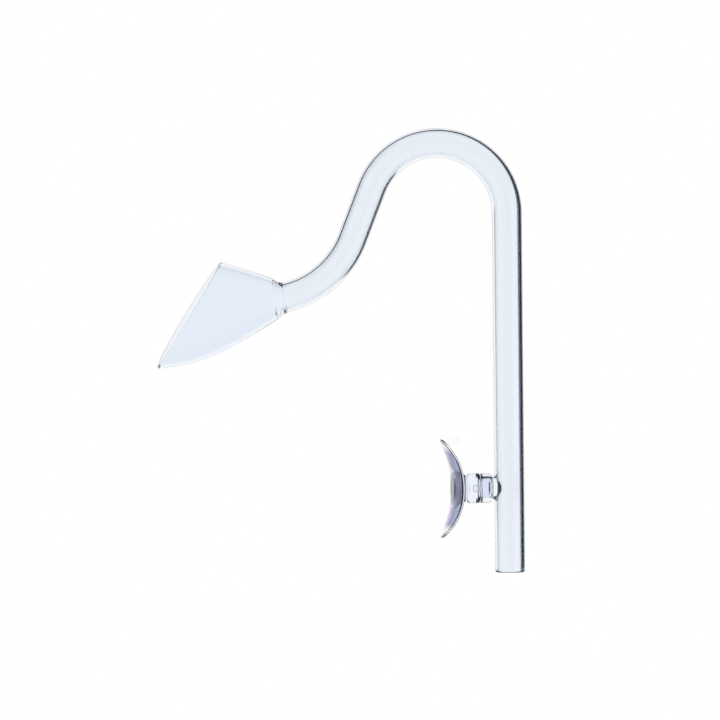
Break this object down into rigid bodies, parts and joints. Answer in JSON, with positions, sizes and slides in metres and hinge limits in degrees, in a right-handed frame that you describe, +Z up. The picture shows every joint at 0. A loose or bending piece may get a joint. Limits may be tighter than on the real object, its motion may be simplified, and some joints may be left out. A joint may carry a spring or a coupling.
{
  "type": "aquarium outflow pipe",
  "caption": "Clear glass hook-over aquarium outflow pipe with a slant-cut lily bell and a swivelling suction cup.",
  "frame": {"origin": "centre of the suction cup's flat front face, where it meets the outside of the tank wall", "axes": "+Z up along the hose leg; -X out of the suction cup into the tank wall, towards the bell; the pipe's plane is Y = 0"},
  "size_m": [0.1595, 0.0462, 0.1932],
  "materials": {
    "pipe_glass": "clear, polished",
    "collar_glass": "clear, flame-fused",
    "bell_glass": "clear, polished, fire-polished rim",
    "socket_glass": "clear, polished",
    "weld_glass": "clear, flame-fused",
    "soft_clear_plastic": "glossy, translucent soft PVC"
  },
  "bodies": {
    "glass": {"bent_pipe": "pipe_glass", "weld_collar": "collar_glass", "lily_bell": "bell_glass", "cup_socket": "socket_glass", "socket_weld": "weld_glass"},
    "cup": {"suction_cup": "soft_clear_plastic"}
  },
  "joints": [
    {"name": "cup_swivel", "type": "hinge", "parent": "glass", "child": "cup", "pos_m": [0, 0, 0], "axis": [-1, 0, 0], "continuous": true}
  ]
}
